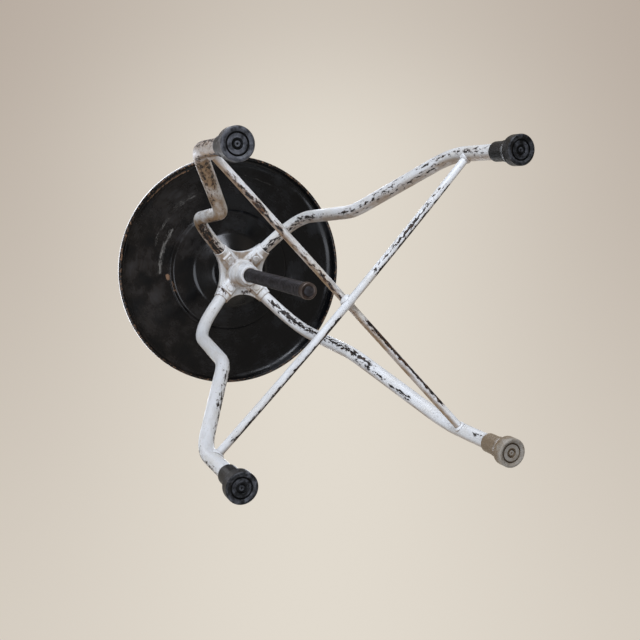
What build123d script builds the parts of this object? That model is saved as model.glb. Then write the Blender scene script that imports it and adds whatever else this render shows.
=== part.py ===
from build123d import *
import math
import os

# Adjustable steel stool, in millimetres.
# +Z is up, Z = 0 is the floor, and the screw axis is the Z axis.
# The legs stand in two pairs, one at +X and one at -X, with the front at -Y.

# Seat pan, pressed from sheet, with a rounded edge and a hemmed lip
SEAT_DIAMETER = 356.0
SEAT_SHEET = 1.6
SEAT_LIP_HEIGHT = 22.0
SEAT_EDGE_RADIUS = 16.0
HEM_DIAMETER = 4.4

# Plate under the pan, with a stepped edge and a pressed dome
PLATE_DIAMETER = 196.0
PLATE_SHEET = 2.0
PLATE_FLANGE = 3.0
PLATE_DEPTH = 6.0
DOME_FOOT_DIAMETER = 118.0
DOME_FACE_DIAMETER = 66.0
DOME_DEPTH = 20.0

# Boss that joins the dome to the spindle
BOSS_DIAMETER = 30.0
BOSS_FLANGE_DIAMETER = 52.0
BOSS_FLANGE_THICKNESS = 5.0
BOSS_FOOT_HEIGHT = 4.0
BOSS_LENGTH = 24.0

# Screw spindle, its travel, and the stop at its lower end
SPINDLE_DIAMETER = 20.0
SPIGOT_DIAMETER = 15.0
SPIGOT_HEAD_DIAMETER = 21.0
SPIGOT_HEAD_HEIGHT = 3.0
THREAD_LEAD = 5.0
TURNS_DOWN = 1
TURNS_UP = 45
TAIL_DIAMETER = 13.0
TAIL_END = 0.8
COLLAR_DIAMETER = 21.6
COLLAR_LENGTH = 7.0
COLLAR_CHAMFER = 0.8
WASHER_DIAMETER = 22.4
WASHER_THICKNESS = 1.6

# Hub casting with four drooping sockets, hung about the height where the arms' axes meet
ARM_START_HEIGHT = 512.2
HUB_RISE = 3.8
HUB_LENGTH = 65.0
HUB_TOP = ARM_START_HEIGHT + HUB_RISE
HUB_NOSE = HUB_TOP - HUB_LENGTH
HUB_DIAMETER = 42.0
HUB_NOSE_DIAMETER = 29.0
HUB_TAPER_HEIGHT = 36.0
HUB_RING_COUNT = 3
HUB_RING_DEPTH = 0.7
HUB_RING_WIDTH = 2.0
ARM_DROOP = 23.6
ARM_REACH = 56.0
ARM_SECTION = 25.0
ARM_CORNER = 7.0
MOUTH_SECTION = 20.8
MOUTH_CORNER = 9.6
SOCKET_START = 24.0
WEB_THICKNESS = 9.0
WEB_WAIST = 33.0
PAD_WIDTH = 15.0
PAD_LENGTH = 16.0
PAD_RISE = 0.6
PAD_GAP = 1.6

# Rivets that hold the legs in the sockets
RIVET_DIAMETER = 6.0
RIVET_HEAD_DIAMETER = 10.0
RIVET_HEAD_HEIGHT = 1.6

# Legs, bent from round tube in radial planes
LEG_PAIR_ANGLE = 86.8
TUBE_DIAMETER = 18.0
TUBE_WALL = 1.5
KNEE_RADIUS = 115.0
SHIN_RADIUS = 132.5
SHIN_HEIGHT = 285.5
FOOT_RADIUS = 229.5
ANKLE_HEIGHT = 144.0
KNEE_BEND = 78.0
SHIN_BEND = 78.0
ANKLE_BEND = 95.0

# Crossed brace rods and their welds; the lower rod is bowed to pass under the upper one
ROD_DIAMETER = 9.5
BRACE_HEIGHT = 105.0
WELD_LEG = 2.6
WELD_TOE = 0.4
CROSSING_WELD_DIAMETER = 17.0

# Rubber ferrules and the steel discs inside them
FERRULE_BASE_DIAMETER = 34.0
FERRULE_BASE_HEIGHT = 13.0
FERRULE_FLARE_HEIGHT = 12.0
FERRULE_STEP_HEIGHT = 4.0
FERRULE_HEIGHT = 48.0
FERRULE_WALL_LOW = 3.1
FERRULE_WALL_TOP = 2.3
FERRULE_SOLE = 10.0
FERRULE_CHAMFER = 1.2
SOLE_LAND = 1.6
SOLE_DISH = 1.6
OUTER_GROOVE_DIAMETER = 23.6
OUTER_GROOVE_WIDTH = 1.9
INNER_GROOVE_DIAMETER = 11.4
INNER_GROOVE_WIDTH = 2.8
GROOVE_DEPTH = 2.4
DIMPLE_DIAMETER = 2.4
DIMPLE_DEPTH = 0.8
DISC_THICKNESS = 1.5

# Clearances, on the radius of a fit or on a gap between faces
RUNNING_GAP = 0.05
FIXED_GAP = 0.02
STOP_GAP = 0.3

tube_radius = TUBE_DIAMETER / 2
rod_radius = ROD_DIAMETER / 2
brace_bow = ROD_DIAMETER + FIXED_GAP
tube_bottom = FERRULE_SOLE + DISC_THICKNESS

# Start of a pad along its arm, clear of the boss
droop = math.radians(ARM_DROOP)
pad_depth = ARM_SECTION / 2 + PAD_RISE
pad_start = (HUB_DIAMETER / 2 + PAD_GAP + pad_depth * math.sin(droop)) / math.cos(droop)

# Heights of the seat assembly, built up from the hub
boss_bottom = HUB_TOP + TURNS_DOWN * THREAD_LEAD + STOP_GAP
boss_top = boss_bottom + BOSS_LENGTH
dome_face = boss_bottom + BOSS_FOOT_HEIGHT + BOSS_FLANGE_THICKNESS
plate_under = dome_face + DOME_DEPTH
pan_under = plate_under + PLATE_DEPTH
pan_top = pan_under + SEAT_SHEET
lip_bottom = pan_top - SEAT_LIP_HEIGHT

# Heights of the stop, hung below the hub by the upward travel
washer_top = HUB_NOSE - TURNS_UP * THREAD_LEAD - STOP_GAP
collar_top = washer_top - WASHER_THICKNESS
collar_bottom = collar_top - COLLAR_LENGTH
spindle_bottom = collar_bottom - TAIL_END

# Azimuths of the legs, seen from above
half_pair = LEG_PAIR_ANGLE / 2
LEGS = {
    "front_right": -half_pair,
    "back_right": half_pair,
    "back_left": 180 - half_pair,
    "front_left": 180 + half_pair,
}


def ring(outer, inner, low, high):
    """A turned ring or disc about the Z axis, from its radii and heights."""
    upward = (Align.CENTER, Align.CENTER, Align.MIN)
    body = Cylinder(outer, high - low, align=upward)
    if inner > 0:
        body -= Cylinder(inner, high - low, align=upward)
    return Pos(0, 0, low) * body


def turned(points):
    """A solid of revolution about the Z axis, from an outline of radius and height."""
    outline = Polyline(*[(r, 0, z) for r, z in points], close=True)
    return revolve(make_face(outline), Axis.Z)


def round_in_plane(x, z, radius):
    """A circle in the XZ plane, for a profile that is revolved."""
    return Plane.XZ * (Pos(x, z) * Circle(radius))


def box_in_plane(x_low, x_high, z_low, z_high):
    """A rectangle in the XZ plane, for a profile that is revolved."""
    middle = Pos((x_low + x_high) / 2, (z_low + z_high) / 2)
    return Plane.XZ * (middle * Rectangle(x_high - x_low, z_high - z_low))


def tube_along(path, radius):
    """A round bar of a given radius along a path."""
    return sweep(Plane(path @ 0, z_dir=path % 0) * Circle(radius), path)


def seat_pan():
    """The pressed pan: flat top, quarter-round edge, short lip and a tight hem."""
    rim = SEAT_DIAMETER / 2
    hem = HEM_DIAMETER / 2
    edge_x = rim - SEAT_EDGE_RADIUS
    edge_z = pan_top - SEAT_EDGE_RADIUS
    top = box_in_plane(0, edge_x, pan_under, pan_top)
    edge = round_in_plane(edge_x, edge_z, SEAT_EDGE_RADIUS)
    edge -= round_in_plane(edge_x, edge_z, SEAT_EDGE_RADIUS - SEAT_SHEET)
    edge &= box_in_plane(edge_x, rim, edge_z, pan_top)
    lip = box_in_plane(rim - SEAT_SHEET, rim, lip_bottom + hem, edge_z)
    curl = round_in_plane(rim - hem, lip_bottom + hem, hem)
    return revolve(top + edge + lip + curl, Axis.Z)


def seat_plate():
    """The pressed plate: a flange on the pan, a stepped flat, and a dome that carries the boss."""
    rim = PLATE_DIAMETER / 2
    step = PLATE_DEPTH - PLATE_SHEET
    step_out = rim - PLATE_FLANGE
    step_in = step_out - step
    foot = DOME_FOOT_DIAMETER / 2
    face = DOME_FACE_DIAMETER / 2
    hole = BOSS_DIAMETER / 2 + FIXED_GAP
    dome_shift = PLATE_SHEET * math.tan(math.atan2(DOME_DEPTH, foot - face) / 2)
    step_shift = PLATE_SHEET * math.tan(math.radians(45) / 2)
    flat_top = plate_under + PLATE_SHEET
    return turned([
        (hole, dome_face),
        (face + dome_shift, dome_face),
        (foot + dome_shift, plate_under),
        (step_in + step_shift, plate_under),
        (step_out + step_shift, pan_under - PLATE_SHEET),
        (rim, pan_under - PLATE_SHEET),
        (rim, pan_under),
        (step_out, pan_under),
        (step_in, flat_top),
        (foot, flat_top),
        (face, dome_face + PLATE_SHEET),
        (hole, dome_face + PLATE_SHEET),
    ])


def seat_boss():
    """The flanged boss through the dome's face, bored for the spindle's spigot."""
    hole = SPIGOT_DIAMETER / 2 + FIXED_GAP
    sleeve = BOSS_DIAMETER / 2
    flange = BOSS_FLANGE_DIAMETER / 2
    flange_bottom = boss_bottom + BOSS_FOOT_HEIGHT
    return turned([
        (hole, boss_bottom),
        (sleeve, boss_bottom),
        (sleeve + BOSS_FOOT_HEIGHT, flange_bottom),
        (flange, flange_bottom),
        (flange, dome_face),
        (sleeve, dome_face),
        (sleeve, boss_top),
        (hole, boss_top),
    ])


def spindle():
    """The screw spindle, with a riveted spigot above and a turned tail below."""
    body = ring(SPINDLE_DIAMETER / 2, 0, collar_top, boss_bottom)
    spigot = ring(SPIGOT_DIAMETER / 2, 0, boss_bottom, boss_top)
    head = ring(SPIGOT_HEAD_DIAMETER / 2, 0, boss_top, boss_top + SPIGOT_HEAD_HEIGHT)
    head = fillet(head.edges().group_by(Axis.Z)[-1], SPIGOT_HEAD_HEIGHT * 0.6)
    tail = ring(TAIL_DIAMETER / 2, 0, spindle_bottom, collar_top)
    return body + spigot + head + tail


def stop_collar():
    """The collar riveted on the spindle's tail, so that the seat can't be wound out."""
    collar = ring(COLLAR_DIAMETER / 2, TAIL_DIAMETER / 2 + FIXED_GAP, collar_bottom, collar_top)
    outside = collar.edges().filter_by(GeomType.CIRCLE).group_by(SortBy.RADIUS)[-1]
    return chamfer(outside, COLLAR_CHAMFER)


def stop_washer():
    """The loose washer on the collar, which meets the hub's nose at the top of the travel."""
    return ring(WASHER_DIAMETER / 2, SPINDLE_DIAMETER / 2 + RUNNING_GAP, collar_top, washer_top)


def arm_plane(azimuth, distance):
    """An arm's section plane at a distance from the screw axis: Z out along the arm, X level."""
    turn = math.radians(azimuth)
    level = Vector(-math.sin(turn), math.cos(turn), 0)
    outward = Vector(math.cos(turn), math.sin(turn), 0)
    along = outward * math.cos(droop) - Vector(0, 0, math.sin(droop))
    return Plane(Vector(0, 0, ARM_START_HEIGHT) + along * distance, x_dir=level, z_dir=along)


def hub_boss():
    """The hub's turned boss, tapered to the nose, with shallow rings cut in the taper."""
    nose = HUB_NOSE_DIAMETER / 2
    base = HUB_DIAMETER / 2
    outline = [(0, HUB_NOSE), (nose, HUB_NOSE)]
    pitch = HUB_TAPER_HEIGHT / (HUB_RING_COUNT + 1)
    for index in range(1, HUB_RING_COUNT + 1):
        height = HUB_NOSE + index * pitch
        radius = nose + (base - nose) * index / (HUB_RING_COUNT + 1)
        outline.append((radius, height - HUB_RING_WIDTH / 2))
        outline.append((radius - HUB_RING_DEPTH, height))
        outline.append((radius, height + HUB_RING_WIDTH / 2))
    outline += [(base, HUB_NOSE + HUB_TAPER_HEIGHT), (base, HUB_TOP), (0, HUB_TOP)]
    return turned(outline)


def hub_web():
    """The drooping web between the arms, waisted by a round cut in each gap."""
    half = WEB_THICKNESS / 2 / math.cos(droop)
    reach = ARM_REACH * math.cos(droop)
    tip = ARM_START_HEIGHT - ARM_REACH * math.sin(droop)
    web = turned([
        (0, ARM_START_HEIGHT - half),
        (reach, tip - half),
        (reach, tip + half),
        (0, ARM_START_HEIGHT + half),
    ])
    for middle in (0, 90, 180, 270):
        half_gap = math.radians(half_pair if middle % 180 == 0 else 90 - half_pair)
        corner_x = reach * math.cos(half_gap) + MOUTH_SECTION / 2 * math.sin(half_gap)
        corner_y = reach * math.sin(half_gap) - MOUTH_SECTION / 2 * math.cos(half_gap)
        centre = (corner_x**2 + corner_y**2 - WEB_WAIST**2) / (2 * (corner_x - WEB_WAIST))
        cut = ring(centre - WEB_WAIST, 0, HUB_NOSE, HUB_TOP)
        web -= Rot(0, 0, middle) * Pos(centre, 0, 0) * cut
    return web


def rivet_plane(azimuth):
    """The plane of a pad's face at its rivet, looking out of the pad."""
    section = arm_plane(azimuth, pad_start + PAD_LENGTH / 2)
    out = -section.y_dir
    return Plane(section.origin + out * pad_depth, x_dir=section.x_dir, z_dir=out)


def rivet_shank(azimuth, radius):
    """A rivet's shank, from the pad's face to the inside of the tube's wall."""
    depth = pad_depth - tube_radius + TUBE_WALL
    return extrude(rivet_plane(azimuth) * Circle(radius), -depth)


def rivet(azimuth):
    """One flat-domed rivet through a pad and the tube's wall."""
    face = rivet_plane(azimuth)
    head = extrude(face * Circle(RIVET_HEAD_DIAMETER / 2), RIVET_HEAD_HEIGHT)
    crown = head.edges().filter_by(GeomType.CIRCLE).sort_by_distance(face.origin)[-1]
    return fillet(crown, RIVET_HEAD_HEIGHT * 0.7) + rivet_shank(azimuth, RIVET_DIAMETER / 2)


def hub():
    """The hub casting: boss, web, four tapered sockets with riveting pads, and the screw bore."""
    body = hub_boss() + hub_web()
    arm_start = HUB_NOSE_DIAMETER / 2
    for azimuth in LEGS.values():
        root = arm_plane(azimuth, arm_start) * RectangleRounded(ARM_SECTION, ARM_SECTION, ARM_CORNER)
        mouth = arm_plane(azimuth, ARM_REACH) * RectangleRounded(MOUTH_SECTION, MOUTH_SECTION, MOUTH_CORNER)
        body += loft([root, mouth])
        pad = Pos(0, -(pad_depth + tube_radius) / 2) * Rectangle(PAD_WIDTH, pad_depth - tube_radius)
        body += extrude(arm_plane(azimuth, pad_start) * pad, PAD_LENGTH)
    body -= ring(ARM_REACH * 2, 0, HUB_TOP, HUB_TOP + ARM_REACH)
    for azimuth in LEGS.values():
        socket = Circle(tube_radius + FIXED_GAP)
        body -= extrude(arm_plane(azimuth, SOCKET_START) * socket, ARM_REACH)
        body -= rivet_shank(azimuth, RIVET_DIAMETER / 2 + FIXED_GAP)
    return body - ring(SPINDLE_DIAMETER / 2 + RUNNING_GAP, 0, HUB_NOSE, HUB_TOP)


def leg(azimuth):
    """One leg: a tube from its socket through three bends to the ferrule, holed for its rivet."""
    path = FilletPolyline(
        (SOCKET_START * math.cos(droop), 0, ARM_START_HEIGHT - SOCKET_START * math.sin(droop)),
        (KNEE_RADIUS, 0, ARM_START_HEIGHT - KNEE_RADIUS * math.tan(droop)),
        (SHIN_RADIUS, 0, SHIN_HEIGHT),
        (FOOT_RADIUS, 0, ANKLE_HEIGHT),
        (FOOT_RADIUS, 0, tube_bottom),
        radius=(KNEE_BEND, SHIN_BEND, ANKLE_BEND),
    )
    tube = tube_along(path, tube_radius) - tube_along(path, tube_radius - TUBE_WALL)
    return Rot(0, 0, azimuth) * tube - rivet_shank(azimuth, RIVET_DIAMETER / 2 + FIXED_GAP)


def leg_core(azimuth):
    """The upright run of a leg as a plain cylinder, for coping what is welded to it."""
    core = ring(tube_radius + FIXED_GAP, 0, 0, ANKLE_HEIGHT)
    return Rot(0, 0, azimuth) * Pos(FOOT_RADIUS, 0, 0) * core


def rod_between(azimuth, bow):
    """A rod through two opposite legs' axes, straight or bowed down in the middle."""
    left = (-FOOT_RADIUS, 0, BRACE_HEIGHT)
    right = (FOOT_RADIUS, 0, BRACE_HEIGHT)
    if bow > 0:
        path = ThreePointArc(left, (0, 0, BRACE_HEIGHT - bow), right)
    else:
        path = Line(left, right)
    return Rot(0, 0, azimuth) * tube_along(path, rod_radius)


def brace(azimuth, bow):
    """A brace rod, coped at both ends to the legs that it joins."""
    return rod_between(azimuth, bow) - leg_core(azimuth) - leg_core(azimuth + 180)


def brace_weld(azimuth, bow):
    """The weld bead round a rod's end, coped to the rod and the leg."""
    rise = math.degrees(2 * math.atan2(bow, FOOT_RADIUS))
    bead = turned([
        (0, 0),
        (rod_radius + WELD_LEG, 0),
        (rod_radius + WELD_LEG, tube_radius),
        (rod_radius + WELD_TOE, tube_radius + WELD_LEG),
        (0, tube_radius + WELD_LEG),
    ])
    bead = Pos(FOOT_RADIUS, 0, BRACE_HEIGHT) * Rot(0, -90 - rise, 0) * bead
    return Rot(0, 0, azimuth) * bead - rod_between(azimuth, bow) - leg_core(azimuth)


def crossing_weld(rods):
    """The weld that fills the corners where the two rods cross."""
    bead = Pos(0, 0, BRACE_HEIGHT - brace_bow / 2) * Sphere(CROSSING_WELD_DIAMETER / 2)
    for rod in rods:
        bead -= rod
    return bead


def ferrule():
    """One rubber ferrule about the Z axis: dished and grooved sole, flared base, stepped sleeve."""
    base = FERRULE_BASE_DIAMETER / 2
    hole = tube_radius + FIXED_GAP
    low = hole + FERRULE_WALL_LOW
    top = hole + FERRULE_WALL_TOP
    flare_top = FERRULE_BASE_HEIGHT + FERRULE_FLARE_HEIGHT
    step = flare_top + FERRULE_STEP_HEIGHT
    land = base - FERRULE_CHAMFER
    outline = Polyline(
        (low, 0, flare_top),
        (low, 0, step),
        (top, 0, step),
        (top, 0, FERRULE_HEIGHT),
        (hole, 0, FERRULE_HEIGHT),
        (hole, 0, FERRULE_SOLE),
        (0, 0, FERRULE_SOLE),
        (0, 0, SOLE_DISH),
        (OUTER_GROOVE_DIAMETER / 2, 0, SOLE_DISH),
        (land - SOLE_LAND, 0, 0),
        (land, 0, 0),
        (base, 0, FERRULE_CHAMFER),
        (base, 0, FERRULE_BASE_HEIGHT),
    )
    outline += TangentArc((low, 0, flare_top), (base, 0, FERRULE_BASE_HEIGHT), tangent=(0, 0, -1))
    body = revolve(make_face(outline), Axis.Z)
    deep = SOLE_DISH + GROOVE_DEPTH
    outer = OUTER_GROOVE_DIAMETER / 2
    inner = INNER_GROOVE_DIAMETER / 2
    body -= ring(outer, outer - OUTER_GROOVE_WIDTH, 0, deep)
    body -= ring(inner, inner - INNER_GROOVE_WIDTH, 0, deep)
    return body - ring(DIMPLE_DIAMETER / 2, 0, 0, SOLE_DISH + DIMPLE_DEPTH)


def under_leg(piece, azimuth):
    """A piece made about the Z axis, moved under a leg."""
    return Rot(0, 0, azimuth) * Pos(FOOT_RADIUS, 0, 0) * piece


def build():
    """All the pieces of the stool, by node name."""
    pieces = {
        "seat_pan": seat_pan(),
        "seat_plate": seat_plate(),
        "seat_boss": seat_boss(),
        "spindle": spindle(),
        "stop_collar": stop_collar(),
        "stop_washer": stop_washer(),
        "hub": hub(),
        "hub_rivets": Compound([rivet(azimuth) for azimuth in LEGS.values()]),
    }
    for name, azimuth in LEGS.items():
        pieces[f"leg_{name}"] = leg(azimuth)
        pieces[f"foot_{name}"] = under_leg(ferrule(), azimuth)
    upper = brace(LEGS["front_right"], 0)
    lower = brace(LEGS["back_right"], brace_bow)
    pieces["brace_upper"] = upper
    pieces["brace_lower"] = lower
    pieces["crossing_weld"] = crossing_weld([upper, lower])
    bows = {"front_right": 0, "back_left": 0, "back_right": brace_bow, "front_left": brace_bow}
    pieces["brace_welds"] = Compound([brace_weld(LEGS[name], bow) for name, bow in bows.items()])
    disc = ring(tube_radius, 0, FERRULE_SOLE, tube_bottom)
    pieces["foot_discs"] = Compound([under_leg(disc, azimuth) for azimuth in LEGS.values()])
    return pieces


os.makedirs("parts", exist_ok=True)
for name, piece in build().items():
    export_step(piece, f"parts/{name}.step")
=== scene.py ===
import logging
import math
from dataclasses import dataclass
from enum import Enum

import bmesh
import bpy
import numpy as np
from mathutils import Matrix, Vector, noise


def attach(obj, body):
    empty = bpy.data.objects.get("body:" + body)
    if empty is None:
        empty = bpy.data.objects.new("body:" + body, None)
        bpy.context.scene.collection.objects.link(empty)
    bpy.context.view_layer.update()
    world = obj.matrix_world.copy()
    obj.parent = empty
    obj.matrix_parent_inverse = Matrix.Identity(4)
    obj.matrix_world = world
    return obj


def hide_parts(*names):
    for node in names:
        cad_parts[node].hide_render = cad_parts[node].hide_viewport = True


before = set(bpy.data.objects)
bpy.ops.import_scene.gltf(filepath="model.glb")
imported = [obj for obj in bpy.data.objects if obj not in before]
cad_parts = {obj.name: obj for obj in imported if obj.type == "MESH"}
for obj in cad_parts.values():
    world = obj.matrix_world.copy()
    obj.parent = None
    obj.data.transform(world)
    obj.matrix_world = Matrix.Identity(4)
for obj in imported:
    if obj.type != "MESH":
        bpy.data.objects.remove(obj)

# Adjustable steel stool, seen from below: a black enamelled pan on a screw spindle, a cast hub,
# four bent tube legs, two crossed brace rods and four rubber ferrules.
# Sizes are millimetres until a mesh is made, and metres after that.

Material = bpy.types.Material
Mesh = bpy.types.Mesh
Socket = bpy.types.NodeSocket
Value = Socket | float | tuple[float, ...]
Level = np.ndarray | float
Span = tuple[float, float]
Triple = tuple[float, float, float]

LOG = logging.getLogger("stool")
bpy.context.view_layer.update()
MM = 0.001
# Points nearer the axis than this lie on it, in millimetres.
ON_AXIS = 1e-6
LEG_AZIMUTH = 43.4
FOOT_RADIUS = 229.5
TUBE_RADIUS = 9.0
ROD_RADIUS = 4.75
SPIGOT_RADIUS = 7.5
SHOULDER_HEIGHT = 521.3
BOSS_LENGTH = 24.0
PRESS_FIT = 0.02
# Settings of the nodes that the finishes use most.
PLUS = {"operation": "ADD"}
LESS = {"operation": "SUBTRACT"}
TIMES = {"operation": "MULTIPLY"}
GREATER = {"operation": "MAXIMUM"}
SOFT = {"interpolation_type": "SMOOTHSTEP"}


def linear(code: str) -> tuple[float, float, float, float]:
    """The linear colour of an sRGB hex value.

    Args:
        code: A colour such as "#D9D7D0".

    Returns:
        Red, green, blue and an alpha of 1.
    """
    parts = [int(code[at:at + 2], 16) / 255 for at in (1, 3, 5)]
    parts = [p / 12.92 if p <= 0.04045 else ((p + 0.055) / 1.055) ** 2.4 for p in parts]
    return parts[0], parts[1], parts[2], 1.0


class Body(Enum):
    """The moving bodies of the stool."""

    FRAME = "frame"
    STOP = "stop"
    SEAT = "seat"


class Slot(Enum):
    """Names for the stool's finishes."""

    PAINT = "white_paint"
    ENAMEL = "black_enamel"
    OILED = "oiled_steel"
    WORN = "worn_steel"
    RUBBER = "black_rubber"
    TAUPE = "taupe_rubber"


@dataclass(frozen=True)
class Pattern:
    """The shader nodes of one material or world, and the patterns that the finishes share."""

    tree: bpy.types.NodeTree

    def add(self, kind: str, *values: Value, named: dict | None = None,
            **settings: object) -> bpy.types.NodeOutputs:
        """Adds one node with its settings, values and links.

        Args:
            kind: The node's type, after "ShaderNode".
            values: Values or sockets for its first inputs, in order.
            named: Values or sockets for other inputs, by name or number.
            settings: The node's own properties.

        Returns:
            The node's outputs.
        """
        node = self.tree.nodes.new(f"ShaderNode{kind}")
        for key, value in settings.items():
            setattr(node, key, value)
        for key, value in {**dict(enumerate(values)), **(named or {})}.items():
            if isinstance(value, Socket):
                self.tree.links.new(value, node.inputs[key])
            else:
                node.inputs[key].default_value = value
        return node.outputs

    def swing(self, value: Socket, size: float) -> Socket:
        """The swing of a value about a half, times a size."""
        return self.add("Math", self.add("Math", value, 0.5, **LESS)[0], size, **TIMES)[0]

    def place(self) -> Socket:
        """The place on the object, in millimetres."""
        metres = self.add("TexCoord")["Object"]
        return self.add("VectorMath", metres, (1 / MM,) * 3, **TIMES)[0]

    def cloud(self, vector: Socket, sizes: Triple, detail: float = 3.0, roughness: float = 0.55) -> Socket:
        """A noise about 0.5, with lumps of a real size.

        Args:
            vector: The place in the pattern, in millimetres.
            sizes: The lumps' three sizes, in millimetres.
            detail: How many finer layers it has.
            roughness: How strong they are.

        Returns:
            The noise.
        """
        scaled = self.add("VectorMath", vector, tuple(1 / size for size in sizes), **TIMES)[0]
        named = {"Vector": scaled, "Scale": 1.0, "Detail": detail, "Roughness": roughness}
        return self.add("TexNoise", named=named)[0]

    def crevice(self, reach: float) -> Socket:
        """How closed in a point is, from 0 in the open to 1, within a reach in millimetres."""
        clear = self.add("AmbientOcclusion", named={"Distance": reach * MM}, samples=8)["AO"]
        return self.add("Math", 1.0, clear, **LESS)[0]

    def coats(self, base: Socket | str, *over: tuple[Socket, Socket | str]) -> Socket:
        """Colours laid one over another.

        Args:
            base: The lowest colour, as a socket or a hex value.
            over: The share and the colour of each coat above it, from the lowest.

        Returns:
            The colour that shows.
        """
        shown = base
        for share, coat in over:
            under, top = (linear(part) if isinstance(part, str) else part for part in (shown, coat))
            shown = self.add("Mix", share, named={6: under, 7: top}, data_type="RGBA")[2]
        return shown

    def surface(self, inputs: dict, relief: Socket, depth: float, strength: float) -> None:
        """Gives the material its surface, with a relief of a depth in millimetres."""
        bump = self.add("Bump", named={"Height": relief, "Distance": depth * MM, "Strength": strength})[0]
        self.add("OutputMaterial", self.add("BsdfPrincipled", named={**inputs, "Normal": bump})[0])


def new_material(name: str) -> tuple[Material, Pattern]:
    """An empty material.

    Args:
        name: The material's name.

    Returns:
        The material and its pattern helper.
    """
    material = bpy.data.materials.new(name)
    material.use_nodes = True
    material.node_tree.nodes.clear()
    return material, Pattern(material.node_tree)


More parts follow.
